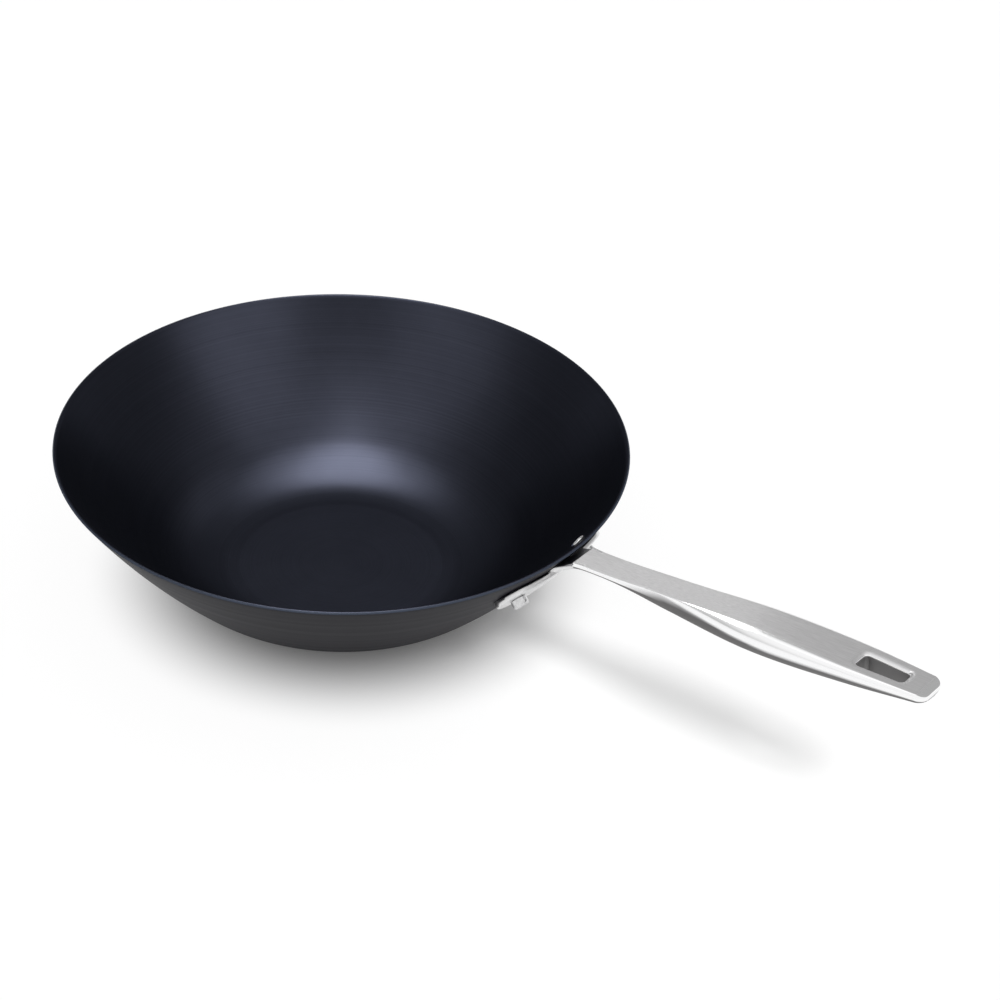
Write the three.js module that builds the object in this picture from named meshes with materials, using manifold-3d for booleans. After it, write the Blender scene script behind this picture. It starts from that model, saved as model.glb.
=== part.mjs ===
// A flat-bottomed wok: a blued steel bowl with a cast stainless handle held by two rivets.
// Millimetres, +Z up. The origin is the middle of the base, on the surface that the wok stands on,
// and the handle points along +X.
import * as THREE from "three";
import { mergeVertices } from "three/addons/utils/BufferGeometryUtils.js";
import Module from "manifold-3d";

// Bowl
const rimDiameter = 300;
const baseDiameter = 114;
const bowlHeight = 78;
const wallThickness = 1.8;
const wallArcRadius = 413;
const cornerRadius = 58.5;
const rimRound = 0.4;

// Rivets, each with a low head inside the bowl and a tall formed head outside
const rivetSpacing = 55;
const rivetDrop = 17.5;
const rivetShankDiameter = 5;
const rivetHeadDiameter = 9.4;
const rivetHeadHeight = 1.5;
const rivetTailDiameter = 8.6;
const rivetTailHeight = 4.2;
const rivetTailRound = 0.9;

// Saddle flange of the handle, which follows the outside of the bowl
const flangeThickness = 3;
const flangeHalfWidth = 11;
const flangeEarReach = 12;
const flangeEdgeBevel = 0.6;
const earRoundShare = 0.97;

// Neck between the flange and the strap, whose foot lies below the line of the rivets
const neckFootBelow = 2.5;
const neckFlare = 6;
const neckTopSlope = 0.5;
const neckStep = 0.8;
const neckFilletReach = 15;

// Places along the handle, as distances from the rim
const strapStart = 5.5;
const strapEnd = 26;
const blendPlace = 61;
const gripPlace = 112;
const slotStart = 167.3;
const handleReach = 207.5;

// Rise of the handle's top face above the rim at those places
const strapStartRise = 0.6;
const strapEndRise = 2.2;
const blendRise = 6.5;
const gripRise = 13;
const slotRise = 16;
const tipRise = 17.4;

// Cross sections: width of the flat top, full width, drop to the widest line, and thickness
const strapFlatWidth = 16.2;
const strapWidth = 16.8;
const strapWidestDrop = 1.8;
const strapThickness = 4.6;
const blendFlatWidth = 16.6;
const blendWidth = 17.4;
const blendWidestDrop = 4.2;
const blendThickness = 12;
const gripFlatWidth = 16.8;
const gripWidth = 29;
const gripWidestDrop = 6.4;
const gripThickness = 16.5;
const slotEndFlatWidth = 20;
const slotEndWidth = 27;
const slotEndWidestDrop = 3.8;
const slotEndThickness = 12.2;
const tipFlatWidth = 17.6;
const tipWidth = 19.6;
const tipWidestDrop = 2.6;
const tipThickness = 6.2;
const undersideFullness = 2.2;
const tipCornerRadius = 4.5;
const tipBevel = 1.4;

// Hanging slot
const slotLength = 25.5;
const slotRootWidth = 10.4;
const slotTipWidth = 8.6;
const slotCornerRadius = 2.2;
const slotBevel = 1.3;

// Core that lightens the grip from below
const coreRoof = 3.4;
const coreSideWall = 5;
const coreStart = 57;
const coreToSlot = 8;
const coreRound = 3;
const coreEndFullness = 4;
const coreEndShare = 0.1;

// Gap kept between pieces that touch, and how far a cut runs past the face that it opens
const clearance = 0.3;
const cutPast = 5;

// Fineness of the curved faces
const turnSegments = 80;
const rivetSegments = 24;
const arcSteps = 6;
const neckSteps = 9;
const roundSteps = 4;
const undersideSteps = 12;
const bodySteps = 22;

const rimRadius = rimDiameter / 2;
const baseRadius = baseDiameter / 2;
const plateFace = clearance + flangeThickness;
const wasm = await Module();
wasm.setup();

// Solids and meshes

function toSolid(geometry) {
  const bare = new THREE.BufferGeometry();
  bare.setAttribute("position", geometry.getAttribute("position"));
  bare.setIndex(geometry.getIndex());
  const merged = mergeVertices(bare, 1e-4);
  const corners = merged.getIndex().array;
  const kept = [];
  for (let i = 0; i < corners.length; i += 3) {
    const [a, b, c] = corners.slice(i, i + 3);
    if (a !== b && b !== c && c !== a) kept.push(a, b, c);
  }
  return new wasm.Manifold(
    new wasm.Mesh({
      numProp: 3,
      vertProperties: merged.getAttribute("position").array,
      triVerts: new Uint32Array(kept),
    }),
  );
}

function toGeometry(solid) {
  const mesh = solid.getMesh();
  const geometry = new THREE.BufferGeometry();
  geometry.setAttribute("position", new THREE.BufferAttribute(mesh.vertProperties, 3));
  geometry.setIndex(new THREE.BufferAttribute(mesh.triVerts, 1));
  geometry.computeVertexNormals();
  return geometry;
}

// Skin over a row of rings with equal numbers of points. Seen from the far end of the row, each
// ring runs counterclockwise.
function loft(rings) {
  const count = rings[0].length;
  const last = (rings.length - 1) * count;
  const index = [];
  for (let i = 0; i < rings.length - 1; i++) {
    for (let j = 0; j < count; j++) {
      const a = i * count + j;
      const b = i * count + ((j + 1) % count);
      index.push(a, b, b + count);
      index.push(a, b + count, a + count);
    }
  }
  for (let j = 1; j < count - 1; j++) {
    index.push(0, j + 1, j);
    index.push(last, last + j, last + j + 1);
  }
  return new THREE.BufferGeometry().setFromPoints(rings.flat()).setIndex(index);
}

// Turns a profile of radius and height about the Z axis
function revolve(profile, segments) {
  return new THREE.LatheGeometry(profile, segments).rotateX(Math.PI / 2);
}

// Bowl profile

// The corner arc touches the base. The wall arc touches the corner arc and ends at the rim, so its
// middle is where two circles cross.
const cornerCentre = new THREE.Vector2(baseRadius, cornerRadius);
const toRim = new THREE.Vector2(rimRadius, bowlHeight).sub(cornerCentre);
const span = toRim.length();
const reach = wallArcRadius - cornerRadius;
const along = (reach ** 2 - wallArcRadius ** 2 + span ** 2) / (2 * span);
const across = Math.sqrt(reach ** 2 - along ** 2);
const wallCentre = new THREE.Vector2(
  cornerCentre.x + (along * toRim.x - across * toRim.y) / span,
  cornerCentre.y + (along * toRim.y + across * toRim.x) / span,
);

// Slopes are angles from level
const rimSlope = Math.atan2(rimRadius - wallCentre.x, wallCentre.y - bowlHeight);
const cornerSlope = Math.atan2(cornerCentre.x - wallCentre.x, wallCentre.y - cornerCentre.y);

function arcPoint(centre, radius, slope) {
  return new THREE.Vector2(centre.x + radius * Math.sin(slope), centre.y - radius * Math.cos(slope));
}

// Radius and height of a point of the wall, moved outwards from its outer face
function wallPoint(slope, outwards) {
  return arcPoint(wallCentre, wallArcRadius + outwards, slope);
}

function slopeAtHeight(height) {
  return Math.acos((wallCentre.y - height) / wallArcRadius);
}

// Points from the axis out to a slope of the wall
function bowlProfile(outwards, topSlope) {
  const points = [new THREE.Vector2(0, -outwards)];
  for (let i = 0; i <= arcSteps; i++) {
    points.push(arcPoint(cornerCentre, cornerRadius + outwards, (cornerSlope * i) / arcSteps));
  }
  for (let i = 1; i <= arcSteps; i++) {
    points.push(wallPoint(cornerSlope + ((topSlope - cornerSlope) * i) / arcSteps, outwards));
  }
  return points;
}

// Rivets

const rivetSlope = slopeAtHeight(bowlHeight - rivetDrop);
const rivetSeat = wallPoint(rivetSlope, 0);
const rivetTurn = Math.asin(rivetSpacing / 2 / rivetSeat.x);
const sides = { left: -1, right: 1 };

// Puts a shape on a rivet's axis: its Z axis runs out of the wall, from the wall's outer face
function rivetPlace(side) {
  const turned = new THREE.Matrix4().makeRotationZ(side * rivetTurn);
  const moved = new THREE.Matrix4().makeTranslation(rivetSeat.x, 0, rivetSeat.y);
  const tilted = new THREE.Matrix4().makeRotationY(Math.PI - rivetSlope);
  return turned.multiply(moved).multiply(tilted);
}

function rivetGeometry() {
  const headSeat = -wallThickness - clearance;
  const tailSeat = plateFace + clearance;
  const shank = rivetShankDiameter / 2;
  const head = rivetHeadDiameter / 2;
  const tail = rivetTailDiameter / 2;
  const profile = [];
  for (let i = 0; i <= arcSteps; i++) {
    const turn = (Math.PI / 2) * (i / arcSteps);
    profile.push(new THREE.Vector2(head * Math.sin(turn), headSeat - rivetHeadHeight * Math.cos(turn)));
  }
  profile.push(new THREE.Vector2(shank, headSeat));
  profile.push(new THREE.Vector2(shank, tailSeat));
  profile.push(new THREE.Vector2(tail, tailSeat));
  for (let i = 0; i <= roundSteps; i++) {
    const turn = (Math.PI / 2) * (i / roundSteps);
    const radius = tail - rivetTailRound * (1 - Math.cos(turn));
    const height = tailSeat + rivetTailHeight - rivetTailRound * (1 - Math.sin(turn));
    profile.push(new THREE.Vector2(radius, height));
  }
  profile.push(new THREE.Vector2(0, tailSeat + rivetTailHeight));
  return revolve(profile, rivetSegments);
}

// Cylinder for the hole that a rivet passes through
function rivetHole(side) {
  const length = 2 * (plateFace + cutPast);
  const radius = rivetShankDiameter / 2 + clearance;
  const drill = new THREE.CylinderGeometry(radius, radius, length, rivetSegments);
  return toSolid(drill.rotateX(Math.PI / 2).applyMatrix4(rivetPlace(side)));
}

// Bowl

function bowlGeometry() {
  const edgeSlope = rimSlope - rimRound / wallArcRadius;
  const outer = bowlProfile(0, edgeSlope);
  const inner = bowlProfile(-wallThickness, edgeSlope).reverse();
  const edge = [wallPoint(rimSlope, -rimRound), wallPoint(rimSlope, rimRound - wallThickness)];
  let solid = toSolid(revolve([...outer, ...edge, ...inner], turnSegments));
  for (const side of Object.values(sides)) solid = solid.subtract(rivetHole(side));
  return toGeometry(solid);
}

// The space that the handle keeps clear of: the bowl with its clearance, and the air above it
function bowlSpace() {
  const outer = bowlProfile(clearance, rimSlope);
  const top = bowlHeight + tipRise + cutPast;
  const lid = [new THREE.Vector2(outer.at(-1).x, top), new THREE.Vector2(0, top)];
  return toSolid(revolve([...outer, ...lid], turnSegments));
}

// Handle

// Smooth curve through values given at places along the handle
function smooth(places, values) {
  const curve = new THREE.CubicInterpolant(places, values, 1);
  return (place) => curve.evaluate(place)[0];
}

const bodyPlaces = [strapStart, strapEnd, blendPlace, gripPlace, slotStart, handleReach];
const topRise = smooth(bodyPlaces, [
  strapStartRise, strapEndRise, blendRise, gripRise, slotRise, tipRise,
]);
const flatWidth = smooth(bodyPlaces, [
  strapFlatWidth, strapFlatWidth, blendFlatWidth, gripFlatWidth, slotEndFlatWidth, tipFlatWidth,
]);
const fullWidth = smooth(bodyPlaces, [
  strapWidth, strapWidth, blendWidth, gripWidth, slotEndWidth, tipWidth,
]);
const widestDrop = smooth(bodyPlaces, [
  strapWidestDrop, strapWidestDrop, blendWidestDrop, gripWidestDrop, slotEndWidestDrop, tipWidestDrop,
]);
const thickness = smooth(bodyPlaces, [
  strapThickness, strapThickness, blendThickness, gripThickness, slotEndThickness, tipThickness,
]);

// One cross section: a flat top, rolled edges down to the widest line, and a full round underside
function section(x, top, flat, wide, widest, depth) {
  const outline = [];
  for (let i = 0; i <= roundSteps; i++) {
    const turn = (Math.PI / 2) * (i / roundSteps);
    outline.push([flat + (wide - flat) * Math.cos(turn), widest * (Math.sin(turn) - 1)]);
  }
  const mirrored = outline.map(([y, z]) => [-y, z]).reverse();
  const under = [];
  for (let i = 1; i < undersideSteps; i++) {
    const turn = Math.PI * (i / undersideSteps);
    const y = -Math.sign(Math.cos(turn)) * Math.abs(Math.cos(turn)) ** (2 / undersideFullness) * wide;
    const z = -widest - (depth - widest) * Math.sin(turn) ** (2 / undersideFullness);
    under.push([y, z]);
  }
  return [...outline, ...mirrored, ...under].map(([y, z]) => new THREE.Vector3(x, y, top + z));
}

function bodySection(place, inset, lowered) {
  return section(
    rimRadius + place,
    bowlHeight + topRise(place) - lowered,
    flatWidth(place) / 2 - inset,
    fullWidth(place) / 2 - inset,
    widestDrop(place) - lowered / 2,
    thickness(place) - 2 * lowered,
  );
}

// Fillet under the neck: a curve from inside the flange's plate, past the corner between the plate's
// outer face and the strap's underside, to the strap
const strapUnderside = bowlHeight + topRise(neckFilletReach) - thickness(neckFilletReach);
const filletFoot = wallPoint(
  slopeAtHeight(bowlHeight - rivetDrop - neckFootBelow), plateFace - flangeThickness / 2,
);
const filletCorner = new THREE.Vector2(
  wallPoint(slopeAtHeight(strapUnderside), plateFace).x, strapUnderside,
);
const filletEnd = new THREE.Vector2(rimRadius + neckFilletReach, strapUnderside);
const fillet = new THREE.QuadraticBezierCurve(filletFoot, filletCorner, filletEnd);

// Share of the way along the fillet at a distance from the bowl's axis
function filletShare(x) {
  const turn = filletFoot.x - 2 * filletCorner.x + filletEnd.x;
  const lead = filletCorner.x - filletFoot.x;
  return (x - filletFoot.x) / (lead + Math.sqrt(lead ** 2 + turn * (x - filletFoot.x)));
}

// Sections of the neck from the flange up to the strap, which grow wider towards the flange
function neckSections() {
  const startX = rimRadius + strapStart;
  const stepTop = bowlHeight + strapStartRise - neckStep;
  const lastX = startX - neckStep / 2;
  const rings = [];
  for (let i = 0; i <= neckSteps; i++) {
    const x = filletFoot.x + ((lastX - filletFoot.x) * i) / neckSteps;
    const share = filletShare(x);
    const top = stepTop - (startX - x) * neckTopSlope;
    const wide = strapWidth / 2 + neckFlare * (1 - share) ** 2;
    rings.push(section(x, top, wide - neckStep, wide, strapWidestDrop, top - fillet.getPoint(share).y));
  }
  return rings;
}

// Sections of the strap where the fillet still runs under it
function strapSections() {
  const rings = [];
  for (let i = 0; i < arcSteps; i++) {
    const place = strapStart + ((neckFilletReach - strapStart) * i) / arcSteps;
    const share = filletShare(rimRadius + place);
    const top = bowlHeight + topRise(place);
    const grow = neckFlare * (1 - share) ** 2;
    const flat = flatWidth(place) / 2 + grow;
    const wide = fullWidth(place) / 2 + grow;
    const depth = Math.max(thickness(place), top - fillet.getPoint(share).y);
    rings.push(section(rimRadius + place, top, flat, wide, widestDrop(place), depth));
  }
  return rings;
}

function bodySections() {
  const rings = [];
  const straight = handleReach - tipCornerRadius;
  for (let i = 0; i <= bodySteps; i++) {
    rings.push(bodySection(neckFilletReach + ((straight - neckFilletReach) * i) / bodySteps, 0, 0));
  }
  for (let i = 1; i <= roundSteps; i++) {
    const turn = (Math.PI / 2) * (i / roundSteps);
    const bend = 1 - Math.cos(turn);
    const place = straight + tipCornerRadius * Math.sin(turn);
    rings.push(bodySection(place, tipCornerRadius * bend, tipBevel * bend));
  }
  return rings;
}

// Saddle flange: sections of the plate turned about the bowl's axis, round at both ears
function flangeSections() {
  const stations = [];
  const earArc = rivetSeat.x * rivetTurn;
  for (let i = 0; i <= 2 * roundSteps; i++) {
    const turn = (Math.PI / 2) * earRoundShare * (i / (2 * roundSteps));
    stations.push([earArc + flangeEarReach * Math.sin(turn), flangeHalfWidth * Math.cos(turn)]);
  }
  const left = stations.map(([arc, half]) => [-arc, half]).reverse();
  const middle = [];
  for (let i = 1; i < 2 * arcSteps; i++) middle.push([earArc * (i / arcSteps - 1), flangeHalfWidth]);
  return [...left, ...middle, ...stations].map(([arc, half]) => flangeSection(arc / rivetSeat.x, half));
}

function flangeSection(turn, half) {
  const bevelled = Math.max(half - flangeEdgeBevel, half / 2);
  const outline = [
    [-half, clearance], [0, clearance], [half, clearance], [half, plateFace - flangeEdgeBevel],
    [bevelled, plateFace], [0, plateFace], [-bevelled, plateFace], [-half, plateFace - flangeEdgeBevel],
  ];
  return outline.map(([up, outwards]) => {
    const point = wallPoint(rivetSlope + up / wallArcRadius, outwards);
    return new THREE.Vector3(point.x * Math.cos(turn), point.x * Math.sin(turn), point.y);
  });
}

// Ring of the hanging slot: an outline that narrows to the tip, with rounded corners
function slotRing(grow, drop) {
  const rootX = slotStart - grow;
  const tipX = slotStart + slotLength + grow;
  const rootHalf = slotRootWidth / 2 + grow;
  const tipHalf = slotTipWidth / 2 + grow;
  const round = slotCornerRadius + grow;
  const corners = [
    [tipX - round, -tipHalf + round, -0.5], [tipX - round, tipHalf - round, 0],
    [rootX + round, rootHalf - round, 0.5], [rootX + round, -rootHalf + round, 1],
  ];
  return corners.flatMap(([x, y, start]) => {
    const points = [];
    for (let i = 0; i <= roundSteps; i++) {
      const turn = Math.PI * (start + (0.5 * i) / roundSteps);
      const place = x + round * Math.cos(turn);
      const height = bowlHeight + topRise(place) - drop;
      points.push(new THREE.Vector3(rimRadius + place, y + round * Math.sin(turn), height));
    }
    return points;
  });
}

function slotSolid() {
  const rings = [
    slotRing(0, slotEndThickness + cutPast),
    slotRing(0, slotBevel),
    slotRing(2 * slotBevel, -slotBevel),
  ];
  return toSolid(loft(rings));
}

// Core of the grip: an open trough from below, with a rounded roof and rounded ends
function coreSolid() {
  const coreEnd = slotStart - coreToSlot;
  const middle = (coreStart + coreEnd) / 2;
  const floor = bowlHeight + gripRise - gripThickness - cutPast;
  const rings = [];
  for (let i = 0; i <= bodySteps; i++) {
    const share = Math.sin((Math.PI / 2) * ((2 * i) / bodySteps - 1));
    const place = middle + ((coreEnd - coreStart) / 2) * share;
    const end = Math.max(Math.sqrt(1 - share ** coreEndFullness), coreEndShare);
    const half = (fullWidth(place) / 2 - coreSideWall) * end;
    const slope = ((thickness(place) - coreRoof) * (1 - end)) / 2;
    const roof = bowlHeight + topRise(place) - coreRoof - slope;
    rings.push(coreSection(rimRadius + place, half, roof, floor));
  }
  return toSolid(loft(rings));
}

function coreSection(x, half, roof, floor) {
  const round = Math.min(coreRound, half / 2);
  const points = [new THREE.Vector3(x, half, floor)];
  for (let i = 0; i <= roundSteps; i++) {
    const turn = (Math.PI / 2) * (i / roundSteps);
    const y = half - round * (1 - Math.cos(turn));
    points.push(new THREE.Vector3(x, y, roof - round * (1 - Math.sin(turn))));
  }
  const mirrored = points.map((p) => new THREE.Vector3(x, -p.y, p.z)).reverse();
  return [...points, ...mirrored];
}

function handleGeometry() {
  let solid = toSolid(loft([...neckSections(), ...strapSections(), ...bodySections()]));
  solid = solid.add(toSolid(loft(flangeSections())));
  solid = solid.subtract(bowlSpace()).subtract(coreSolid()).subtract(slotSolid());
  for (const side of Object.values(sides)) solid = solid.subtract(rivetHole(side));
  return toGeometry(solid);
}

// Assembly

const bluedSteel = new THREE.MeshStandardMaterial({ color: 0x262a36, roughness: 0.45, metalness: 0.7 });
const stainless = new THREE.MeshStandardMaterial({ color: 0xc6c6c8, roughness: 0.28, metalness: 1 });
const polished = new THREE.MeshStandardMaterial({ color: 0xd8d8da, roughness: 0.15, metalness: 1 });

const wok = new THREE.Group();

function addPiece(name, geometry, material) {
  const mesh = new THREE.Mesh(geometry, material);
  mesh.name = name;
  wok.add(mesh);
  return mesh;
}

addPiece("wok_bowl", bowlGeometry(), bluedSteel);
addPiece("handle", handleGeometry(), stainless);
for (const [name, side] of Object.entries(sides)) {
  addPiece(`rivet_${name}`, rivetGeometry(), polished).applyMatrix4(rivetPlace(side));
}

export default wok;
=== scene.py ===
import math

import bmesh
import bpy
from mathutils import Matrix, Vector


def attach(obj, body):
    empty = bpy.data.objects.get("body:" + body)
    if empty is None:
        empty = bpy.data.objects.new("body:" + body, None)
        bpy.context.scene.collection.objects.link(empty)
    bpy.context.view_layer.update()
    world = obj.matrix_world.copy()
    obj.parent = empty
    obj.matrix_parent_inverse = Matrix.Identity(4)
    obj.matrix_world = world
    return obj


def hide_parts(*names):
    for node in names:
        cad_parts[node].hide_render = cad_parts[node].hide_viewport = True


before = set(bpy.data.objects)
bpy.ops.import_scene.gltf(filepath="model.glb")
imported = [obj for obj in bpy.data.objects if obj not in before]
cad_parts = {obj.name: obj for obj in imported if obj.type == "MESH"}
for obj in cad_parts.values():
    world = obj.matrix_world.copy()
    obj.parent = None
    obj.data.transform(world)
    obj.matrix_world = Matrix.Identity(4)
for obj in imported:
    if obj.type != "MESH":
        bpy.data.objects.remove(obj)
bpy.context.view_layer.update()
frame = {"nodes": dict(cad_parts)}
mm = 0.001  # the dictionaries below are in millimetres and degrees
print("frame loaded:", ", ".join(frame["nodes"]))


# camera

photoView = {
    "place": (932.64, -1142.24, 1057.42),
    "turn": 36.0,
    "tilt": 55.533,
    "roll": 2.582,
    "lens": 122.4,
    "sensor": 36.0,
}


def addCamera(view):
    data = bpy.data.cameras.new("photoCamera")
    data.lens = view["lens"]
    data.sensor_width = view["sensor"]
    camera = bpy.data.objects.new("photoCamera", data)
    bpy.context.collection.objects.link(camera)
    aim = Matrix.Rotation(math.radians(view["turn"]), 4, "Z")
    aim = aim @ Matrix.Rotation(math.radians(view["tilt"]), 4, "X")
    aim = aim @ Matrix.Rotation(math.radians(view["roll"]), 4, "Z")
    camera.matrix_world = Matrix.Translation(Vector(view["place"]) * mm) @ aim
    bpy.context.scene.camera = camera


addCamera(photoView)
print("camera set")


# small tools for modelling

mergeDistance = 0.001  # points nearer than this are one


def deselectAll():
    if bpy.context.object and bpy.context.object.mode != "OBJECT":
        bpy.ops.object.mode_set(mode="OBJECT")
    bpy.ops.object.select_all(action="DESELECT")


def nameNewest(name):
    piece = bpy.context.object
    piece.name = name
    piece.data.name = name
    return piece


def makeActive(piece):
    deselectAll()
    piece.select_set(True)
    bpy.context.view_layer.objects.active = piece


def applyModifier(piece, kind, **settings):
    step = piece.modifiers.new(kind.lower(), kind)
    for key, value in settings.items():
        setattr(step, key, value)
    makeActive(piece)
    bpy.ops.object.modifier_apply(modifier=step.name)


def combine(piece, tool, operation):
    applyModifier(piece, "BOOLEAN", object=tool, operation=operation, solver="EXACT")
    bpy.data.objects.remove(tool, do_unlink=True)


def clamp(value):
    return max(0.0, min(1.0, value))


def smoothFaces(angle):
    bpy.ops.object.shade_smooth_by_angle(angle=math.radians(angle))


def closeMesh():  # in edit mode: merge the seam, fill the ends, turn the faces outwards
    bpy.ops.mesh.select_all(action="SELECT")
    bpy.ops.mesh.remove_doubles(threshold=mergeDistance * mm)
    bpy.ops.mesh.fill_holes(sides=0)
    bpy.ops.mesh.select_all(action="SELECT")
    bpy.ops.mesh.normals_make_consistent(inside=False)


def wrapGrid(name, rows):  # a grid primitive wrapped over closed rows of points
    deselectAll()
    bpy.ops.mesh.primitive_grid_add(
        x_subdivisions=len(rows[0]), y_subdivisions=len(rows) - 1, size=1
    )
    piece = nameNewest(name)
    places = [c * mm for row in rows for point in (*row, row[0]) for c in point]
    piece.data.vertices.foreach_set("co", places)
    bpy.ops.object.mode_set(mode="EDIT")
    closeMesh()
    bpy.ops.object.mode_set(mode="OBJECT")
    return piece


def turnedRows(profile, segments):
    rows = []
    for radius, height in profile:
        angles = [2 * math.pi * i / segments for i in range(segments)]
        rows.append([(radius * math.cos(a), radius * math.sin(a), height) for a in angles])
    return rows


# the bowl's curve: a flat base, a corner arc and a wall arc that touch each other

bowl = {
    "rimRadius": 149.9,
    "baseRadius": 57,
    "height": 78,
    "wall": 1.8,
    "wallArc": 413,
    "cornerArc": 58.5,
    "rimBevel": 0.4,
    "mouthBevel": 0.75,
    "bevelSteps": 3,
    "smoothAngle": 35,
    "segments": 192,
    "floorRings": 8,
    "cornerRings": 22,
    "wallRings": 30,
}

cornerCentre = Vector((bowl["baseRadius"], bowl["cornerArc"]))
toRim = Vector((bowl["rimRadius"], bowl["height"])) - cornerCentre
arcReach = bowl["wallArc"] - bowl["cornerArc"]
alongRim = (arcReach**2 - bowl["wallArc"] ** 2 + toRim.length**2) / (2 * toRim.length)
acrossRim = math.sqrt(arcReach**2 - alongRim**2)
wallCentre = cornerCentre + (toRim * alongRim + toRim.orthogonal() * acrossRim) / toRim.length
rimSlope = math.atan2(bowl["rimRadius"] - wallCentre.x, wallCentre.y - bowl["height"])
cornerSlope = math.atan2(cornerCentre.x - wallCentre.x, wallCentre.y - cornerCentre.y)


def arcPoint(centre, radius, slope):
    return centre.x + radius * math.sin(slope), centre.y - radius * math.cos(slope)


def wallPoint(slope, outwards):
    return arcPoint(wallCentre, bowl["wallArc"] + outwards, slope)


def slopeAtHeight(height):
    return math.acos((wallCentre.y - height) / bowl["wallArc"])


def bowlCurve(outwards):
    points = []
    for i in range(bowl["cornerRings"] + 1):
        slope = cornerSlope * i / bowl["cornerRings"]
        points.append(arcPoint(cornerCentre, bowl["cornerArc"] + outwards, slope))
    for i in range(1, bowl["wallRings"] + 1):
        slope = cornerSlope + (rimSlope - cornerSlope) * i / bowl["wallRings"]
        points.append(wallPoint(slope, outwards))
    return points


# rivets

rivet = {
    "spacing": 55,
    "drop": 17.5,
    "shankRadius": 2.5,
    "headRadius": 4.6,
    "headHeight": 1.5,
    "tailRadius": 4.3,
    "tailHeight": 4.2,
    "tailRound": 1.5,
    "plateFace": 3.3,
    "gap": 0.3,
    "segments": 64,
    "domeRings": 9,
    "domeFlat": 0.4,  # share of a ring left flat on top of the dome
    "roundSteps": 6,
    "smoothAngle": 40,
    "drillDepth": 20,
    "drillSegments": 48,
}

rivetSlope = slopeAtHeight(bowl["height"] - rivet["drop"])
rivetSeat = wallPoint(rivetSlope, 0)
rivetTurn = math.asin(rivet["spacing"] / 2 / rivetSeat[0])


def rivetPlace(side):  # local Z runs out of the wall, from its outer face
    turned = Matrix.Rotation(side * rivetTurn, 4, "Z")
    moved = Matrix.Translation(Vector((rivetSeat[0], 0, rivetSeat[1])) * mm)
    return turned @ moved @ Matrix.Rotation(math.pi - rivetSlope, 4, "Y")


def drillHoles(piece):
    for side in (-1, 1):
        deselectAll()
        bpy.ops.mesh.primitive_cylinder_add(
            vertices=rivet["drillSegments"],
            radius=(rivet["shankRadius"] + rivet["gap"]) * mm,
            depth=rivet["drillDepth"] * mm,
        )
        drill = nameNewest("drill")
        drill.matrix_world = rivetPlace(side)
        combine(piece, drill, "DIFFERENCE")


def selectEnd(piece, pick):  # the face at the lowest or the highest end
    mesh = bmesh.from_edit_mesh(piece.data)
    end = pick(vertex.co.z for vertex in mesh.verts)
    for face in mesh.faces:
        face.select = all(abs(v.co.z - end) < mergeDistance * mm for v in face.verts)
    bmesh.update_edit_mesh(piece.data)


def extrudeUp(distance):
    bpy.ops.mesh.extrude_region_move(TRANSFORM_OT_translate={"value": (0, 0, distance * mm)})


def makeRivet(name, side):
    headSeat = -bowl["wall"] - rivet["gap"]
    tailSeat = rivet["plateFace"] + rivet["gap"]
    deselectAll()
    bpy.ops.mesh.primitive_cylinder_add(
        vertices=rivet["segments"],
        radius=rivet["shankRadius"] * mm,
        depth=(tailSeat - headSeat) * mm,
        location=(0, 0, (tailSeat + headSeat) / 2 * mm),
    )
    piece = nameNewest(name)
    bpy.ops.object.transform_apply(location=True)
    bpy.ops.object.mode_set(mode="EDIT")
    bpy.ops.mesh.select_mode(type="FACE")

    selectEnd(piece, min)  # low dome inside the bowl
    extrudeUp(0)
    reach = rivet["headRadius"] / rivet["shankRadius"]
    bpy.ops.transform.resize(value=(reach, reach, 1))
    lastShare, lastDrop = 1.0, 0.0
    for i in range(1, rivet["domeRings"] + 1):
        turn = math.pi / 2 * i / (rivet["domeRings"] + rivet["domeFlat"])
        share, drop = math.cos(turn), rivet["headHeight"] * math.sin(turn)
        extrudeUp(lastDrop - drop)
        bpy.ops.transform.resize(value=(share / lastShare, share / lastShare, 1))
        lastShare, lastDrop = share, drop

    selectEnd(piece, max)  # tall formed head outside
    extrudeUp(0)
    reach = rivet["tailRadius"] / rivet["shankRadius"]
    bpy.ops.transform.resize(value=(reach, reach, 1))
    extrudeUp(rivet["tailHeight"])
    bpy.ops.mesh.bevel(
        offset=rivet["tailRound"] * mm, segments=rivet["roundSteps"], profile=0.5
    )
    bpy.ops.mesh.select_all(action="SELECT")
    bpy.ops.mesh.remove_doubles(threshold=mergeDistance * mm)
    bpy.ops.mesh.normals_make_consistent(inside=False)
    bpy.ops.object.mode_set(mode="OBJECT")
    piece.matrix_world = rivetPlace(side)
    bpy.ops.object.transform_apply(location=True, rotation=True, scale=True)
    smoothFaces(rivet["smoothAngle"])
    return piece


# bowl: a disc whose edge is drawn out ring by ring, then given its thickness

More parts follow.
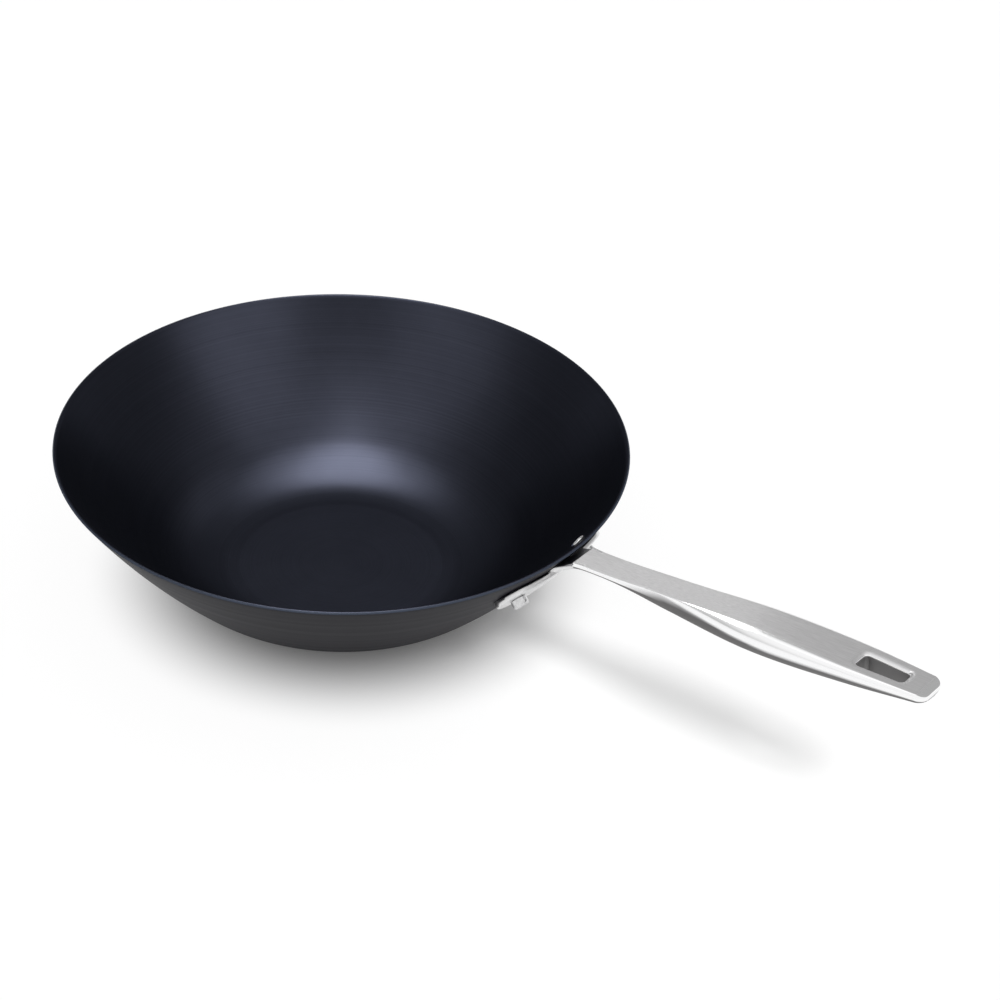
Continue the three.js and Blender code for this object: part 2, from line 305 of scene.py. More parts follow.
def makeBowl():
    first = bowl["baseRadius"] / bowl["floorRings"]
    deselectAll()
    bpy.ops.mesh.primitive_circle_add(
        vertices=bowl["segments"], radius=first * mm, fill_type="TRIFAN"
    )
    piece = nameNewest("wokBowl")
    rings = [(first * i, 0) for i in range(2, bowl["floorRings"])] + bowlCurve(0)
    bpy.ops.object.mode_set(mode="EDIT")
    bpy.ops.mesh.select_mode(type="EDGE")
    bpy.ops.mesh.select_all(action="DESELECT")
    bpy.ops.mesh.select_non_manifold()
    lastRadius, lastHeight = first, 0
    for radius, height in rings:
        bpy.ops.mesh.extrude_edges_move(
            TRANSFORM_OT_translate={"value": (0, 0, (height - lastHeight) * mm)}
        )
        bpy.ops.transform.resize(value=(radius / lastRadius, radius / lastRadius, 1))
        lastRadius, lastHeight = radius, height
    bpy.ops.mesh.select_all(action="SELECT")
    bpy.ops.mesh.normals_make_consistent(inside=False)
    bpy.ops.object.mode_set(mode="OBJECT")
    if piece.data.polygons[0].normal.z > 0:  # the sheet is the outer face, facing down
        piece.data.flip_normals()
    for finish in (charcoalOutside, navyInside, rimPaintedHighlight):
        piece.data.materials.append(finish)
    applyModifier(
        piece, "SOLIDIFY", thickness=bowl["wall"] * mm, offset=-1, use_even_offset=True,
        use_quality_normals=True, material_offset=1, material_offset_rim=2,
    )
    softenRim(piece)
    drillHoles(piece)
    makeActive(piece)
    smoothFaces(bowl["smoothAngle"])
    return piece


def softenRim(piece):
    makeActive(piece)
    bpy.ops.object.mode_set(mode="EDIT")
    bpy.ops.mesh.select_mode(type="EDGE")
    bpy.ops.mesh.select_all(action="DESELECT")
    # the rounded inner edge stays navy, the outer one gets the rim's paler colour, a painted
    # highlight
    outside, inside, rim = range(3)  # the bowl's material slots
    edges = ((inside, inside, bowl["mouthBevel"]), (outside, rim, bowl["rimBevel"]))
    for finish, look, reach in edges:
        mesh = bmesh.from_edit_mesh(piece.data)
        for edge in mesh.edges:
            edge.select = {face.material_index for face in edge.link_faces} == {finish, rim}
        bmesh.update_edit_mesh(piece.data)
        bpy.ops.mesh.bevel(
            offset=reach * mm, segments=bowl["bevelSteps"], profile=0.5, material=look
        )
        bpy.ops.mesh.select_all(action="DESELECT")
    bpy.ops.object.mode_set(mode="OBJECT")


# handle: one casting, drawn as sections along its length

handle = {
    # place from the rim, rise above it, flat width, full width,
    # drop to the widest line, thickness
    "stations": [
        (5.5, 0.6, 16.2, 16.8, 1.8, 4.6),
        (26, 2.2, 16.2, 16.8, 1.8, 4.6),
        (61, 6.5, 16.6, 17.4, 4.2, 12),
        (112, 13, 16.8, 29, 6.4, 16.5),
        (167.3, 16, 20, 27, 3.8, 12.2),
        (207.5, 17.38, 17.6, 19.6, 2.6, 6.2),
    ],
    "rim": 150,
    "fullness": 2.2,
    "tipCorner": 4.5,
    "tipBevel": 1.4,
    "smoothAngle": 28,
    "bodySteps": 200,
    "tipSteps": 10,
    "topSteps": 8,
    "edgeSteps": 16,
    "underSteps": 36,
}

placeAt, riseAt, flatAt, fullAt, dropAt, thickAt = range(6)  # columns of the stations
strapStart = handle["stations"][0][placeAt]
tipStart = handle["stations"][-1][placeAt] - handle["tipCorner"]

neck = {
    "footBelow": 2.5,
    "flare": 6,
    "topSlope": 0.5,
    "step": 0.8,
    "filletReach": 15,
    "steps": 24,
    "strapSteps": 12,
}

flange = {
    "thickness": 3,
    "gap": 0.3,
    "half": 11,
    "earReach": 12,
    "earEnd": 0.97,  # share of a quarter turn at which the ear is cut off
    "bevel": 1.0,
    "bevelShoulder": 0.3,
    "backBevel": 0.9,
    "faceSteps": 6,
    "earSteps": 14,
    "middleSteps": 30,
    "clearAbove": 25,  # how far the bowl's own space is kept free above the rim
}

slot = {
    "start": 167.3,
    "length": 25.5,
    "rootWidth": 10.4,
    "tipWidth": 8.6,
    "corner": 2.2,
    "bevel": 2.0,
    "bevelWidth": 2.8,
    "bevelSteps": 8,
    "depth": 18,
    "overcut": 0.5,
    "steps": 10,
}

core = {
    "roof": 3.4,
    "sideWall": 5,
    "start": 57,
    "end": 159.3,
    "floor": 69.5,  # below the grip's underside
    "round": 3,
    "roundSteps": 8,
    "fullness": 4,
    "least": 0.1,
    "steps": 60,
}


def smoothValue(column, place):  # cubic curve through one column of the stations
    points = [(row[placeAt], row[column]) for row in handle["stations"]]
    i = 1
    while i < len(points) - 1 and place > points[i][0]:
        i += 1
    (t0, v0), (t1, v1) = points[i - 1], points[i]
    tPrev, vPrev = points[i - 2] if i > 1 else (t1, v1)
    tNext, vNext = points[i + 1] if i + 1 < len(points) else (t0, v0)
    wPrev, wNext = (t1 - t0) / 2 / (t0 - tPrev), (t1 - t0) / 2 / (tNext - t1)
    p = (place - t0) / (t1 - t0)
    sPrev = -wPrev * p**3 + 2 * wPrev * p**2 - wPrev * p
    s0 = (1 + wPrev) * p**3 + (-1.5 - 2 * wPrev) * p**2 + (wPrev - 0.5) * p + 1
    s1 = (-1 - wNext) * p**3 + (1.5 + wNext) * p**2 + 0.5 * p
    sNext = wNext * p**3 - wNext * p**2
    return sPrev * vPrev + s0 * v0 + s1 * v1 + sNext * vNext


def topHeight(place):
    return bowl["height"] + smoothValue(riseAt, place)


# a flat top, rolled edges and a full round underside, all in half widths
def section(x, top, flat, wide, widest, depth):
    edge, roll = [], wide - flat
    for i in range(handle["edgeSteps"] + 1):  # even steps of slope round the rolled edge
        turn = math.pi / 2 * i / handle["edgeSteps"]
        reach = math.hypot(roll * math.cos(turn), widest * math.sin(turn))
        out, up = roll**2 * math.cos(turn) / reach, widest**2 * math.sin(turn) / reach
        edge.append((flat + out, up - widest))
    steps = handle["topSteps"]
    middle = [(flat * (1 - 2 * i / steps), 0) for i in range(1, steps)]
    under = []
    for i in range(1, handle["underSteps"]):
        turn = math.pi * i / handle["underSteps"]
        bent = 2 / handle["fullness"]
        y = -math.copysign(abs(math.cos(turn)) ** bent, math.cos(turn)) * wide
        under.append((y, -widest - (depth - widest) * math.sin(turn) ** bent))
    outline = edge + middle + [(-y, z) for y, z in reversed(edge)] + under
    return [(x, y, top + z) for y, z in outline]


def bodySection(place, inset, lowered):
    return section(
        handle["rim"] + place,
        topHeight(place) - lowered,
        smoothValue(flatAt, place) / 2 - inset,
        smoothValue(fullAt, place) / 2 - inset,
        smoothValue(dropAt, place) - lowered / 2,
        smoothValue(thickAt, place) - 2 * lowered,
    )


def neckRows():
    strapHalf = handle["stations"][0][fullAt] / 2
    underside = topHeight(neck["filletReach"]) - smoothValue(thickAt, neck["filletReach"])
    plateFace = flange["gap"] + flange["thickness"]
    footSlope = slopeAtHeight(bowl["height"] - rivet["drop"] - neck["footBelow"])
    foot = wallPoint(footSlope, plateFace - flange["thickness"] / 2)
    corner = (wallPoint(slopeAtHeight(underside), plateFace)[0], underside)
    end = (handle["rim"] + neck["filletReach"], underside)
    bend, lead = foot[0] - 2 * corner[0] + end[0], corner[0] - foot[0]

    def filletAt(x):  # height of the fillet under a point, and how far the sides flare there
        share = (x - foot[0]) / (lead + math.sqrt(max(lead**2 + bend * (x - foot[0]), 0)))
        rest = 1 - share
        height = rest**2 * foot[1] + 2 * share * rest * corner[1] + share**2 * end[1]
        return height, neck["flare"] * rest**2

    rows = []
    drop = handle["stations"][0][dropAt]
    startX = handle["rim"] + strapStart
    stepTop = topHeight(strapStart) - neck["step"]
    for i in range(neck["steps"] + 1):
        x = foot[0] + (startX - neck["step"] / 2 - foot[0]) * i / neck["steps"]
        bottom, grow = filletAt(x)
        top = stepTop - (startX - x) * neck["topSlope"]
        wide = strapHalf + grow
        rows.append(section(x, top, wide - neck["step"], wide, drop, top - bottom))
    for i in range(neck["strapSteps"]):
        place = strapStart + (neck["filletReach"] - strapStart) * i / neck["strapSteps"]
        bottom, grow = filletAt(handle["rim"] + place)
        top = topHeight(place)
        flat, wide = smoothValue(flatAt, place) / 2 + grow, smoothValue(fullAt, place) / 2 + grow
        drop, depth = smoothValue(dropAt, place), max(smoothValue(thickAt, place), top - bottom)
        rows.append(section(handle["rim"] + place, top, flat, wide, drop, depth))
    return rows


def bodyRows():
    start = neck["filletReach"]
    rows = []
    for i in range(handle["bodySteps"] + 1):
        rows.append(bodySection(start + (tipStart - start) * i / handle["bodySteps"], 0, 0))
    for i in range(1, handle["tipSteps"] + 1):
        turn = math.pi / 2 * i / handle["tipSteps"]
        bend, reach = 1 - math.cos(turn), math.sin(turn)
        place = tipStart + handle["tipCorner"] * reach
        rows.append(bodySection(place, handle["tipCorner"] * bend, handle["tipBevel"] * reach))
    return rows


def flangeRows():
    earArc = rivetSeat[0] * rivetTurn
    ear = []
    for i in range(flange["earSteps"] + 1):
        turn = math.pi / 2 * flange["earEnd"] * i / flange["earSteps"]
        arc = earArc + flange["earReach"] * math.sin(turn)
        ear.append((arc, flange["half"] * math.cos(turn)))
    steps = flange["middleSteps"]
    middle = [(earArc * (2 * i / steps - 1), flange["half"]) for i in range(1, steps)]
    stations = [(-arc, half) for arc, half in reversed(ear)] + middle + ear
    inner, outer = flange["gap"], flange["gap"] + flange["thickness"]
    lip = outer - flange["bevel"]
    shoulder = outer - flange["bevel"] * flange["bevelShoulder"]
    across = [2 * i / flange["faceSteps"] - 1 for i in range(flange["faceSteps"] + 1)]
    rows = []
    for arc, half in stations:
        edge, back = min(flange["bevel"], half / 2), min(flange["backBevel"], half / 2)
        turned = half - edge * flange["bevelShoulder"]
        outline = [(-half, inner + back)]
        outline += [((half - back) * share, inner) for share in across]
        outline += [(half, inner + back), (half, lip), (turned, shoulder)]
        outline += [((edge - half) * share, outer) for share in across]
        outline += [(-turned, shoulder), (-half, lip)]
        turn = arc / rivetSeat[0]
        row = []
        for up, out in outline:
            radius, height = wallPoint(rivetSlope + up / bowl["wallArc"], out)
            row.append((radius * math.cos(turn), radius * math.sin(turn), height))
        rows.append(row)
    return rows


def slotRow(grow, drop):
    root, tip = slot["start"] - grow, slot["start"] + slot["length"] + grow
    rootHalf, tipHalf = slot["rootWidth"] / 2 + grow, slot["tipWidth"] / 2 + grow
    turnRadius = slot["corner"] + grow
    corners = [  # with the turn at which each corner starts, in half circles
        (tip, -tipHalf, -0.5), (tip, tipHalf, 0), (root, rootHalf, 0.5), (root, -rootHalf, 1),
    ]
    row = []
    for x, y, start in corners:
        centreX = x - turnRadius if x == tip else x + turnRadius
        centreY = y - math.copysign(turnRadius, y)
        for i in range(slot["steps"] + 1):
            turn = math.pi * (start + 0.5 * i / slot["steps"])
            place = centreX + turnRadius * math.cos(turn)
            y = centreY + turnRadius * math.sin(turn)
            row.append((handle["rim"] + place, y, topHeight(place) - drop))
    return row


def coreRows():
    rows = []
    for i in range(core["steps"] + 1):
        share = math.sin(math.pi / 2 * (2 * i / core["steps"] - 1))
        place = (core["start"] + core["end"]) / 2 + (core["end"] - core["start"]) / 2 * share
        end = max(math.sqrt(max(1 - share ** core["fullness"], 0)), core["least"])
        half = (smoothValue(fullAt, place) / 2 - core["sideWall"]) * end
        sunk = (smoothValue(thickAt, place) - core["roof"]) * (1 - end) / 2
        roof = topHeight(place) - core["roof"] - sunk
        turnRadius = min(core["round"], half / 2)
        side = [(half, core["floor"])]
        for j in range(core["roundSteps"] + 1):
            turn = math.pi / 2 * j / core["roundSteps"]
            y = half - turnRadius * (1 - math.cos(turn))
            side.append((y, roof - turnRadius * (1 - math.sin(turn))))
        outline = side + [(-y, z) for y, z in reversed(side)]
        rows.append([(handle["rim"] + place, y, z) for y, z in outline])
    return rows


def makeHandle():
    piece = wrapGrid("wokHandle", neckRows() + bodyRows())
    combine(piece, wrapGrid("saddle", flangeRows()), "UNION")
    lid = bowl["height"] + flange["clearAbove"]
    outer = [(0, -flange["gap"])] + bowlCurve(flange["gap"])
    space = outer + [(outer[-1][0], lid), (0, lid)]
    combine(piece, wrapGrid("bowlSpace", turnedRows(space, bowl["segments"])), "DIFFERENCE")
    combine(piece, wrapGrid("gripCore", coreRows()), "DIFFERENCE")
    rows = [slotRow(0, slot["depth"])]
    for i in range(slot["bevelSteps"] + 1):  # a soft rounding down into the slot
        turn = math.pi / 2 * (1 - i / slot["bevelSteps"])
        grow, drop = slot["bevelWidth"] * (1 - math.sin(turn)), slot["bevel"] * (1 - math.cos(turn))
        rows.append(slotRow(grow, drop))
    rows.append(slotRow(slot["bevelWidth"] + slot["overcut"], -slot["bevel"]))
    combine(piece, wrapGrid("hangingSlot", rows), "DIFFERENCE")
    drillHoles(piece)
    makeActive(piece)
    smoothFaces(handle["smoothAngle"])
    markFinishesAndShade(piece)
    return piece


def edgeFacing(place, side):  # how far the top and its rolled edges face up
    flat, wide = smoothValue(flatAt, place) / 2, smoothValue(fullAt, place) / 2
    out = clamp((side - flat) / (wide - flat))
    rise, run = (wide - flat) * math.sqrt(1 - out**2), smoothValue(dropAt, place) * out
    return rise / math.hypot(rise, run)


# where each finish and the underside's painted shade starts, how far it fades, and how deep it goes
# facing is 1 for a level face and 0 for an upright one
finishesAndShade = {
    "brushedGrip": (0.975, 0.02),
    "brushedStrap": (0.5, 0.3),  # the thin strap is brushed round its edges
    "brushedSlot": (0.5, 0.45),
    "brushedDepth": 1.4,
    "gripRoll": (0.5, 1.5),  # rolled edge's width where the grip begins, and its fade
    "gripStart": 112,  # place from which all is grip
    "slotMargin": (3.2, 3.0),  # along and across
    "holeMargin": 1.0,
    "wallMargin": 0.2,
    "roofMargin": 0.3,
    "slotCast": 0.9,  # share of the slot's bevel below which it is plain casting
    "hiddenCast": 0.92,
    "flangeCast": 0.28,
    "castLow": -0.04,  # facing below which the underside gets painted shade, in the dark grey of casting
    "castSwell": 0.24,  # and how much higher that is where the grip swells
    "castFade": 0.14,
    "swell": (30, 125, 40),  # where it starts and ends, and how gently
}


def brushedShare(place, side, below, facingUp):
    margin, deep = finishesAndShade["wallMargin"], finishesAndShade["brushedDepth"]
    fromMiddle = abs(place - slot["start"] - slot["length"] / 2)
    along, across = finishesAndShade["slotMargin"]
    if fromMiddle < slot["length"] / 2 + along and side < slot["rootWidth"] / 2 + across:
        (low, fade), deep = finishesAndShade["brushedSlot"], slot["bevel"]
        facing = facingUp
    else:
        roll = (smoothValue(fullAt, place) - smoothValue(flatAt, place)) / 2
        least, span = finishesAndShade["gripRoll"]
        grip = 1.0 if place > finishesAndShade["gripStart"] else clamp((roll - least) / span)
        pairs = zip(finishesAndShade["brushedStrap"], finishesAndShade["brushedGrip"])
        low, fade = (strap + (full - strap) * grip for strap, full in pairs)
        facing = edgeFacing(max(place, strapStart), side)
    onTop = strapStart - margin < place < tipStart + margin and abs(below) < deep
    return clamp((facing - low) / fade) if onTop else 0.0


# the dark grey's share: plain casting in the slot, the core and a little on the saddle, painted
# shade on the underside
def castShare(place, side, below, facingUp):
    around, wall = finishesAndShade["holeMargin"], finishesAndShade["wallMargin"]
    inSlot = slot["start"] - around < place < slot["start"] + slot["length"] + around
    inSlot = inSlot and side < slot["rootWidth"] / 2 + wall
    inCore = core["start"] - around < place < core["end"] + around
    inCore = inCore and side < smoothValue(fullAt, place) / 2 - core["sideWall"] + wall
    if inSlot and below > finishesAndShade["slotCast"] * slot["bevel"]:
        return finishesAndShade["hiddenCast"]
    if inCore and below > core["roof"] - finishesAndShade["roofMargin"]:
        return finishesAndShade["hiddenCast"]
    if place <= strapStart:
        return finishesAndShade["flangeCast"]
    # painted shade: faces turning down get the dark grey, more where the grip swells, standing in
    # for the shadowed floor they mirror
    first, last, ease = finishesAndShade["swell"]
    swell = clamp(min((place - first) / ease, (last - place) / ease))
    limit = finishesAndShade["castSwell"] * swell + finishesAndShade["castLow"]
    return clamp((limit - facingUp) / finishesAndShade["castFade"])


def markFinishesAndShade(piece):  # brushing on the top; plain casting in the slot and core, and painted shade below, both in one dark grey
    brushed = piece.data.attributes.new("brushed", "FLOAT", "POINT")
    cast = piece.data.attributes.new("cast", "FLOAT", "POINT")
    for vertex in piece.data.vertices:
        place, side = vertex.co.x / mm - handle["rim"], abs(vertex.co.y / mm)
        below = topHeight(max(place, strapStart)) - vertex.co.z / mm
        where = place, side, below, vertex.normal.z
        brushed.data[vertex.index].value = brushedShare(*where)
        cast.data[vertex.index].value = castShare(*where)


# materials

def newMaterial(name):
    material = bpy.data.materials.new(name)
    material.use_nodes = True
    nodes, links = material.node_tree.nodes, material.node_tree.links
    return material, nodes, links, nodes["Principled BSDF"]


def addNode(nodes, kind, inputs=None, **settings):
    node = nodes.new(kind)
    for key, value in settings.items():
        setattr(node, key, value)
    for key, value in (inputs or {}).items():
        node.inputs[key].default_value = value
    return node


def axisDistance(nodes, links):  # distance from the bowl's axis, in metres
    where = addNode(nodes, "ShaderNodeTexCoord")
    flat = addNode(nodes, "ShaderNodeVectorMath", {1: (1, 1, 0)}, operation="MULTIPLY")
    length = addNode(nodes, "ShaderNodeVectorMath", operation="LENGTH")
    links.new(where.outputs["Object"], flat.inputs[0])
    links.new(flat.outputs[0], length.inputs[0])
    return where.outputs["Object"], length.outputs["Value"]


def ringNoise(nodes, links, distance, perMetre, detail):  # fine turned rings about the axis
    scaled = addNode(nodes, "ShaderNodeMath", {1: perMetre}, operation="MULTIPLY")
    inputs = {"Scale": 1.0, "Detail": detail}
    rings = addNode(nodes, "ShaderNodeTexNoise", inputs, noise_dimensions="1D")
    links.new(distance, scaled.inputs[0])
    links.new(scaled.outputs[0], rings.inputs["W"])
    return rings.outputs["Fac"]


noiseSpan = (0.3, 0.7)  # where most of a noise's values lie


def mixColours(nodes, links, factor, low, high):
    ramp = addNode(nodes, "ShaderNodeValToRGB")
    for stop, colour, place in zip(ramp.color_ramp.elements, (low, high), noiseSpan):
        stop.color = (*colour, 1)
        stop.position = place
    links.new(factor, ramp.inputs["Fac"])
    return ramp.outputs["Color"]


def spread(nodes, links, value, low, high):
    span = addNode(nodes, "ShaderNodeMapRange", {"To Min": low, "To Max": high})
    links.new(value, span.inputs["Value"])
    return span.outputs["Result"]


# a mix node's sockets: its share, two values, two colours and the colour that comes out
mixShare, mixLow, mixHigh, mixLowColour, mixHighColour, mixedColour = 0, 2, 3, 6, 7, 2

steelLooks = {
    "navyInside": {
        "low": (0.0134, 0.0146, 0.0204),
        "high": (0.0184, 0.0199, 0.0276),
        "tint": (0.5, 0.5, 0.5),
        "rough": (0.285, 0.325),
        "floorRough": 0.07,
        "metal": 0.8,
        "shine": 0.0,
        "ringDepth": 0.1,
    },
    "charcoalOutside": {
        "low": (0.009, 0.0088, 0.0114),
        "high": (0.014, 0.0138, 0.0178),
        "tint": (0.92, 0.9, 1.0),
        "rough": (0.42, 0.52),
        "floorRough": 0.10,
        "metal": 0.0,
        "shine": 0.06,
        "ringDepth": 0.03,
    },
    # painted highlight: the rim is coloured paler than the bowl to show the light line along its
    # edge
    "rimPaintedHighlight": {
        "low": (0.026, 0.031, 0.045),
        "high": (0.040, 0.048, 0.067),
        "tint": (0.7, 0.8, 1.0),
        "rough": (0.34, 0.42),
        "floorRough": 0.0,
        "metal": 0.0,
        "shine": 0.05,
        "ringDepth": 0.01,
    },
}

turnedRings = {
    "fine": (1500.0, 3.0),  # rings in a metre, detail
    "broad": (260.0, 2.0),
    "cloud": {"Scale": 26.0, "Detail": 5.0, "Roughness": 0.6},
    "fineShare": 0.55,  # of the colour, the rest is cloudy
    "floor": (50, 64),  # radii between which the flat floor's finish ends
    "wall": (90, 125),  # and between which the rings begin to show
    "strength": 0.35,
}


def bluedSteel(name):
    look = steelLooks[name]
    material, nodes, links, shader = newMaterial(name)
    place, distance = axisDistance(nodes, links)
    fine = ringNoise(nodes, links, distance, *turnedRings["fine"])
    broad = ringNoise(nodes, links, distance, *turnedRings["broad"])
    cloud = addNode(nodes, "ShaderNodeTexNoise", turnedRings["cloud"])
    links.new(place, cloud.inputs["Vector"])
    both = addNode(nodes, "ShaderNodeMath", operation="MULTIPLY")
    links.new(fine, both.inputs[0])
    links.new(broad, both.inputs[1])
    fineShare = {mixShare: turnedRings["fineShare"]}
    patches = addNode(nodes, "ShaderNodeMix", fineShare, data_type="FLOAT")
    links.new(cloud.outputs["Fac"], patches.inputs[mixLow])
    links.new(fine, patches.inputs[mixHigh])
    colour = mixColours(nodes, links, patches.outputs[0], look["low"], look["high"])
    links.new(colour, shader.inputs["Base Color"])
    near, far = (radius * mm for radius in turnedRings["floor"])
    onFloor = addNode(nodes, "ShaderNodeMapRange", {
        "From Min": near, "From Max": far, "To Min": look["floorRough"], "To Max": 0.0,
    })
    rough = addNode(nodes, "ShaderNodeMath", operation="ADD")
    links.new(distance, onFloor.inputs["Value"])
    links.new(spread(nodes, links, broad, *look["rough"]), rough.inputs[0])
    links.new(onFloor.outputs["Result"], rough.inputs[1])
    links.new(rough.outputs[0], shader.inputs["Roughness"])
    near, far = (radius * mm for radius in turnedRings["wall"])
    onWall = addNode(nodes, "ShaderNodeMapRange", {"From Min": near, "From Max": far})
    ringed = addNode(nodes, "ShaderNodeMath", operation="MULTIPLY")
    links.new(distance, onWall.inputs["Value"])
    links.new(both.outputs[0], ringed.inputs[0])
    links.new(onWall.outputs["Result"], ringed.inputs[1])
    bump = addNode(nodes, "ShaderNodeBump", {
        "Strength": turnedRings["strength"], "Distance": look["ringDepth"] * mm,
    })
    links.new(ringed.outputs[0], bump.inputs["Height"])
    links.new(bump.outputs["Normal"], shader.inputs["Normal"])
    shader.inputs["Metallic"].default_value = look["metal"]
    shader.inputs["Specular IOR Level"].default_value = look["shine"]
    shader.inputs["Specular Tint"].default_value = (*look["tint"], 1)
    return material


stainlessLook = {
    "polished": (0.93, 0.93, 0.935),
    "brushed": (0.62, 0.615, 0.62),
    # the dark grey of plain casting, also used as painted shade on the handle's underside
    "cast": (0.2, 0.196, 0.196),
    "roughPolished": 0.15,
    "roughBrushed": 0.42,
    "roughCast": 0.6,
    "grooves": (9.0, 2600.0, 2600.0),  # brushing runs along the handle
    "grooveNoise": {"Scale": 1.0, "Detail": 4.0, "Roughness": 0.65},
    "grooveDepth": 0.02,
    "grooveStrength": 0.8,
    "streaks": (0.88, 1.12),  # darkest and brightest, as shares of the brushed colour
    "anisotropy": 0.8,
}


def castStainless():
    look = stainlessLook
    material, nodes, links, shader = newMaterial("castStainless")
    where = addNode(nodes, "ShaderNodeTexCoord")
    stretch = addNode(nodes, "ShaderNodeMapping", {"Scale": look["grooves"]})
    grooves = addNode(nodes, "ShaderNodeTexNoise", look["grooveNoise"])
    brushed = addNode(nodes, "ShaderNodeAttribute", attribute_name="brushed")
    cast = addNode(nodes, "ShaderNodeAttribute", attribute_name="cast")
    links.new(where.outputs["Object"], stretch.inputs["Vector"])
    links.new(stretch.outputs[0], grooves.inputs["Vector"])
    dark, bright = (tuple(share * c for c in look["brushed"]) for share in look["streaks"])
    streaks = mixColours(nodes, links, grooves.outputs["Fac"], dark, bright)
    polished, darkGrey = {mixLowColour: (*look["polished"], 1)}, {mixHighColour: (*look["cast"], 1)}
    shiny = addNode(nodes, "ShaderNodeMix", polished, data_type="RGBA")
    colour = addNode(nodes, "ShaderNodeMix", darkGrey, data_type="RGBA")
    links.new(brushed.outputs["Fac"], shiny.inputs[mixShare])
    links.new(streaks, shiny.inputs[mixHighColour])
    # the dark grey's share: plain casting in the slot and core, painted shade on the underside
    links.new(cast.outputs["Fac"], colour.inputs[mixShare])
    links.new(shiny.outputs[mixedColour], colour.inputs[mixLowColour])
    links.new(colour.outputs[mixedColour], shader.inputs["Base Color"])
    smooth = spread(
        nodes, links, brushed.outputs["Fac"], look["roughPolished"], look["roughBrushed"]
    )
    rough = addNode(nodes, "ShaderNodeMix", {mixHigh: look["roughCast"]}, data_type="FLOAT")
    links.new(cast.outputs["Fac"], rough.inputs[mixShare])
    links.new(smooth, rough.inputs[mixLow])
    links.new(rough.outputs[0], shader.inputs["Roughness"])
    height = addNode(nodes, "ShaderNodeMath", operation="MULTIPLY")
    links.new(grooves.outputs["Fac"], height.inputs[0])
    links.new(brushed.outputs["Fac"], height.inputs[1])
    bump = addNode(nodes, "ShaderNodeBump", {
        "Strength": look["grooveStrength"], "Distance": look["grooveDepth"] * mm,
    })
    links.new(height.outputs[0], bump.inputs["Height"])
    links.new(bump.outputs["Normal"], shader.inputs["Normal"])
    across = addNode(nodes, "ShaderNodeTangent", direction_type="RADIAL", axis="X")
    links.new(across.outputs["Tangent"], shader.inputs["Tangent"])
    shader.inputs["Anisotropic"].default_value = look["anisotropy"]
    shader.inputs["Metallic"].default_value = 1.0
    return material


rivetLook = {
    "low": (0.54, 0.54, 0.545),
    "high": (0.68, 0.68, 0.685),
    "rough": (0.05, 0.12),
    "marks": {"Scale": 900.0, "Detail": 3.0},
}


def rivetSteel():
    look = rivetLook
    material, nodes, links, shader = newMaterial("rivetSteel")
    where = addNode(nodes, "ShaderNodeTexCoord")
    marks = addNode(nodes, "ShaderNodeTexNoise", look["marks"])
    links.new(where.outputs["Object"], marks.inputs["Vector"])
    tone = mixColours(nodes, links, marks.outputs["Fac"], look["low"], look["high"])
    rough = spread(nodes, links, marks.outputs["Fac"], *look["rough"])
    links.new(tone, shader.inputs["Base Color"])
    links.new(rough, shader.inputs["Roughness"])
    shader.inputs["Metallic"].default_value = 1.0
    return material


navyInside = bluedSteel("navyInside")
charcoalOutside = bluedSteel("charcoalOutside")
rimPaintedHighlight = bluedSteel("rimPaintedHighlight")
stainless = castStainless()
rivetFinish = rivetSteel()
print("materials ready")


# pieces

def settle(piece, node):
    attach(piece, "root")
    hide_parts(node)
    print(piece.name, "made:", len(piece.data.polygons), "faces")


settle(makeBowl(), "wok_bowl")
wokHandle = makeHandle()
wokHandle.data.materials.clear()
wokHandle.data.materials.append(stainless)
settle(wokHandle, "handle")
rivetSides = (("leftRivet", "rivet_left", -1), ("rightRivet", "rivet_right", 1))
for rivetName, node, side in rivetSides:
    rivetPiece = makeRivet(rivetName, side)
    rivetPiece.data.materials.append(rivetFinish)
    settle(rivetPiece, node)


# floor, world and lamps

studio = {
    "floorSize": 12000,
    "floorDrop": 0.2,
    "matte": 0.9,
    "floorColour": (0.93, 0.93, 0.93),
    "floorLift": 0.09,  # only what the camera and reflections see
    "dome": 0.12,
    "tent": 1.0,  # what the steel mirrors at the front and the sides
    "back": 0.4,  # and behind the wok
    "tentAim": (0.378, -0.520, 0.766),
    "tentReach": (50, 76),
    "boxDistance": 6000,
    "band": (10, 16),  # pale all round below these heights, in degrees
}


def seenDirectly(nodes, links):  # camera and see-through rays, mirror rays, and all of these
    path = addNode(nodes, "ShaderNodeLightPath")
    first = addNode(nodes, "ShaderNodeMath", operation="MAXIMUM")
    both = addNode(nodes, "ShaderNodeMath", operation="MAXIMUM")
    links.new(path.outputs["Is Camera Ray"], first.inputs[0])
    links.new(path.outputs["Is Transmission Ray"], first.inputs[1])
    links.new(first.outputs[0], both.inputs[0])
    links.new(path.outputs["Is Glossy Ray"], both.inputs[1])
    return first.outputs[0], path.outputs["Is Glossy Ray"], both.outputs[0]


def makeFloor():
    deselectAll()
    bpy.ops.mesh.primitive_plane_add(
        size=studio["floorSize"] * mm, location=(0, 0, -studio["floorDrop"] * mm)
    )
    floor = nameNewest("paleFloor")
    material, nodes, links, shader = newMaterial("paleFloor")
    shader.inputs["Base Color"].default_value = (*studio["floorColour"], 1)
    shader.inputs["Roughness"].default_value = studio["matte"]
    shader.inputs["Specular IOR Level"].default_value = 0.0
    shader.inputs["Emission Color"].default_value = (1, 1, 1, 1)
    lift = addNode(nodes, "ShaderNodeMath", {1: studio["floorLift"]}, operation="MULTIPLY")
    links.new(seenDirectly(nodes, links)[2], lift.inputs[0])
    links.new(lift.outputs[0], shader.inputs["Emission Strength"])
    floor.data.materials.append(material)


footShade = {
    "middle": (4, -1, -0.1),
    "radius": 140,
    "segments": 64,
    "tone": (0.5, 0.5, 0.5),
    "solid": 0.486,  # share of the radius inside which no light comes through
}


